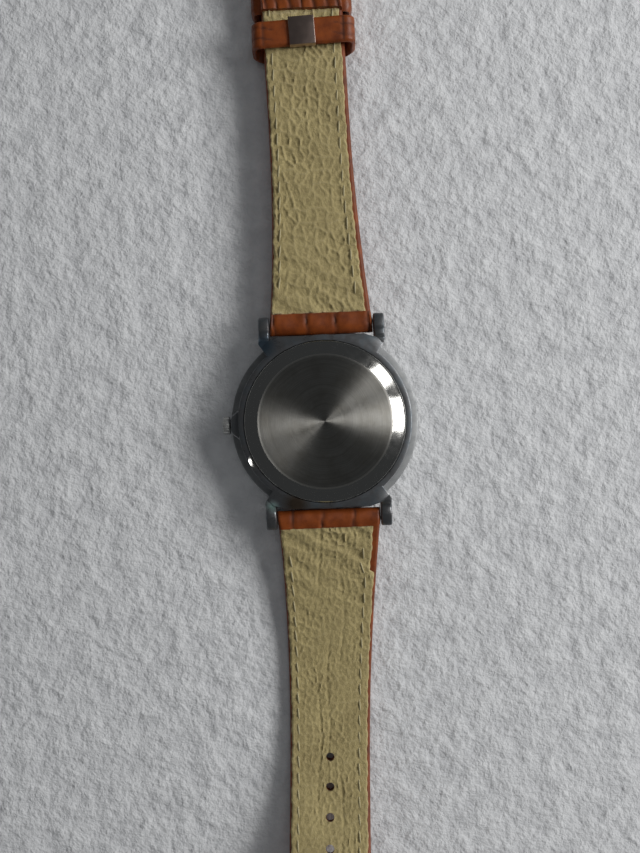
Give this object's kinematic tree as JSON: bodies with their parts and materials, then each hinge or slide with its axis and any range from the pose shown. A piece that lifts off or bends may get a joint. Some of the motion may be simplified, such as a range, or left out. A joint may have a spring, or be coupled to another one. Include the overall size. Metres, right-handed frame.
{
  "type": "wristwatch",
  "caption": "Round hand-wound wristwatch with a pressed-on back, lugs, a crown, a small seconds hand and a stitched two-piece leather strap with keepers and a pin buckle.",
  "frame": {"origin": "centre of the crystal's flat face, on which the watch lies face down", "axes": "+Z from the dial to the case back, +Y towards twelve o'clock and the buckle, crown at -X"},
  "size_m": [0.0345, 0.2017, 0.0279],
  "materials": {
    "steel": "polished, worn dull on the back and between the lugs",
    "brushed_steel": "circular brushed, polished bevel",
    "spring_steel": "plain hardened steel",
    "brass": "gilt",
    "nickel": "nickel plated, striped",
    "blued_steel": "heat blued",
    "crystal": "clear",
    "dial": "satin off white",
    "gasket": "matt black",
    "outer_leather": "reptile-embossed, glossy brown",
    "lining_leather": "pebbled, worn beige",
    "padding": "felt"
  },
  "bodies": {
    "case": {"mid_case": "steel", "bezel": "steel", "crystal": "crystal", "case_back": "brushed_steel", "back_gasket": "gasket", "crown_tube": "spring_steel", "movement_ring": "gasket", "dial": "dial", "main_plate": "nickel", "barrel_bridge": "nickel", "train_bridge": "nickel", "balance_cock": "nickel", "balance_cock_screw": "blued_steel", "barrel_bridge_screw_1": "blued_steel", "barrel_bridge_screw_2": "blued_steel", "train_bridge_screw_1": "blued_steel", "train_bridge_screw_2": "blued_steel", "spring_bar_12": "spring_steel", "spring_bar_6": "spring_steel", "mainspring": "blued_steel", "hairspring": "blued_steel"},
    "setting_lever": {"setting_lever": "spring_steel"},
    "crown": {"crown": "steel", "winding_stem": "spring_steel", "sliding_pinion": "spring_steel"},
    "crown_wheel": {"crown_wheel": "spring_steel"},
    "ratchet_wheel": {"ratchet_wheel": "spring_steel"},
    "click": {"click": "spring_steel"},
    "barrel": {"barrel_drum": "brass", "barrel_cover": "brass"},
    "centre_wheel": {"centre_wheel": "brass"},
    "third_wheel": {"third_wheel": "brass"},
    "fourth_wheel": {"fourth_wheel": "brass", "small_seconds_hand": "blued_steel"},
    "escape_wheel": {"escape_wheel": "spring_steel"},
    "pallet_fork": {"pallet_fork": "spring_steel"},
    "balance": {"balance_wheel": "brass"},
    "minute_hand": {"minute_hand": "blued_steel", "cannon_pinion": "spring_steel"},
    "minute_wheel": {"minute_wheel": "brass"},
    "hour_hand": {"hour_hand": "blued_steel", "hour_wheel": "brass"},
    "strap_12_root": {"strap_12_outer_root": "outer_leather", "strap_12_lining_root": "lining_leather", "strap_12_padding": "padding"},
    "strap_12_tip": {"strap_12_outer_tip": "outer_leather", "strap_12_lining_tip": "lining_leather", "fixed_keeper": "outer_leather"},
    "strap_6_root": {"strap_6_outer_root": "outer_leather", "strap_6_lining_root": "lining_leather", "strap_6_padding": "padding"},
    "strap_6_tip": {"strap_6_outer_tip": "outer_leather", "strap_6_lining_tip": "lining_leather"},
    "floating_keeper": {"floating_keeper": "outer_leather", "keeper_clip": "steel"},
    "buckle": {"buckle_frame": "steel", "buckle_bar": "spring_steel"},
    "tongue": {"buckle_tongue": "steel"}
  },
  "joints": [
    {"name": "strap_12_swing", "type": "hinge", "parent": "case", "child": "strap_12_root", "pos_m": [0, 0.0173, 0.0049], "axis": [1, 0, 0], "range_deg": [-40, 75]},
    {"name": "strap_12_flex", "type": "hinge", "parent": "strap_12_root", "child": "strap_12_tip", "pos_m": [-0.0005, 0.0463, 0.00605], "axis": [1, 0, 0], "range_deg": [-10, 40], "stiffness_Nm_per_rad": 0.03},
    {"name": "strap_6_swing", "type": "hinge", "parent": "case", "child": "strap_6_root", "pos_m": [0, -0.0173, 0.0049], "axis": [-1, 0, 0], "range_deg": [-26, 74]},
    {"name": "strap_6_flex", "type": "hinge", "parent": "strap_6_root", "child": "strap_6_tip", "pos_m": [-0.00127, -0.05293, 0.00252], "axis": [-1, 0, 0], "range_deg": [-10, 30], "stiffness_Nm_per_rad": 0.03},
    {"name": "keeper_slide", "type": "slide", "parent": "strap_12_tip", "child": "floating_keeper", "axis": [-0.0224, 0.9997, 0], "range_m": [-0.0151, 0.0013]},
    {"name": "buckle_swing", "type": "hinge", "parent": "strap_12_tip", "child": "buckle", "pos_m": [-0.00128, 0.0815, 0.00522], "axis": [1, 0, 0], "range_deg": [-20, 80]},
    {"name": "tongue_swing", "type": "hinge", "parent": "buckle", "child": "tongue", "pos_m": [-0.00128, 0.0815, 0.00522], "axis": [1, 0, 0], "range_deg": [-75, 0]},
    {"name": "crown_pull", "type": "slide", "parent": "case", "child": "setting_lever", "axis": [-1, 0, 0], "range_m": [0, 0.001]},
    {"name": "crown_turn", "type": "hinge", "parent": "setting_lever", "child": "crown", "pos_m": [-0.0172, 0, 0.0047], "axis": [-1, 0, 0], "continuous": true},
    {"name": "crown_wheel_turn", "type": "hinge", "parent": "case", "child": "crown_wheel", "pos_m": [-0.00653, 0.00274, 0.0074], "axis": [0, 0, 1], "continuous": true},
    {"name": "ratchet_wheel_turn", "type": "hinge", "parent": "case", "child": "ratchet_wheel", "pos_m": [-0.00205, 0.00483, 0.0074], "axis": [0, 0, 1], "continuous": true},
    {"name": "click_swing", "type": "hinge", "parent": "case", "child": "click", "pos_m": [0.00145, 0.00573, 0.0074], "axis": [0, 0, 1], "range_deg": [0, 15], "stiffness_Nm_per_rad": 0.00001},
    {"name": "fourth_wheel_turn", "type": "hinge", "parent": "case", "child": "fourth_wheel", "pos_m": [0, -0.0056, 0.0054], "axis": [0, 0, 1], "continuous": true},
    {"name": "escape_wheel_turn", "type": "hinge", "parent": "case", "child": "escape_wheel", "pos_m": [0.00314, -0.00615, 0.0054], "axis": [0, 0, 1], "continuous": true},
    {"name": "third_wheel_turn", "type": "hinge", "parent": "case", "child": "third_wheel", "pos_m": [-0.00306, -0.0033, 0.0054], "axis": [0, 0, 1], "continuous": true},
    {"name": "centre_wheel_turn", "type": "hinge", "parent": "case", "child": "centre_wheel", "pos_m": [0, 0, 0.0054], "axis": [0, 0, 1], "continuous": true},
    {"name": "barrel_turn", "type": "hinge", "parent": "case", "child": "barrel", "pos_m": [-0.00205, 0.00483, 0.0054], "axis": [0, 0, 1], "continuous": true},
    {"name": "pallet_swing", "type": "hinge", "parent": "case", "child": "pallet_fork", "pos_m": [0.00446, -0.00439, 0.0054], "axis": [0, 0, 1], "range_deg": [-5, 5]},
    {"name": "balance_swing", "type": "hinge", "parent": "case", "child": "balance", "pos_m": [0.007, -0.001, 0.0059], "axis": [0, 0, 1], "range_deg": [-150, 150], "stiffness_Nm_per_rad": 0.0000001, "deforming": ["hairspring"]},
    {"name": "minute_hand_turn", "type": "hinge", "parent": "case", "child": "minute_hand", "pos_m": [0, 0, 0.0024], "axis": [0, 0, 1], "continuous": true},
    {"name": "minute_wheel_turn", "type": "hinge", "parent": "case", "child": "minute_wheel", "pos_m": [0.00225, 0.00091, 0.004], "axis": [0, 0, 1], "continuous": true},
    {"name": "hour_hand_turn", "type": "hinge", "parent": "case", "child": "hour_hand", "pos_m": [0, 0, 0.0028], "axis": [0, 0, 1], "continuous": true}
  ],
  "couplings": [
    {"joint": "crown_wheel_turn", "follows": "crown_turn", "ratio": 0.44444},
    {"joint": "ratchet_wheel_turn", "follows": "crown_turn", "ratio": -0.4},
    {"joint": "escape_wheel_turn", "follows": "fourth_wheel_turn", "ratio": -10},
    {"joint": "third_wheel_turn", "follows": "fourth_wheel_turn", "ratio": -0.13333},
    {"joint": "centre_wheel_turn", "follows": "fourth_wheel_turn", "ratio": 0.016667},
    {"joint": "barrel_turn", "follows": "fourth_wheel_turn", "ratio": -0.0027778},
    {"joint": "minute_wheel_turn", "follows": "minute_hand_turn", "ratio": -0.33333},
    {"joint": "hour_hand_turn", "follows": "minute_hand_turn", "ratio": 0.083333}
  ]
}
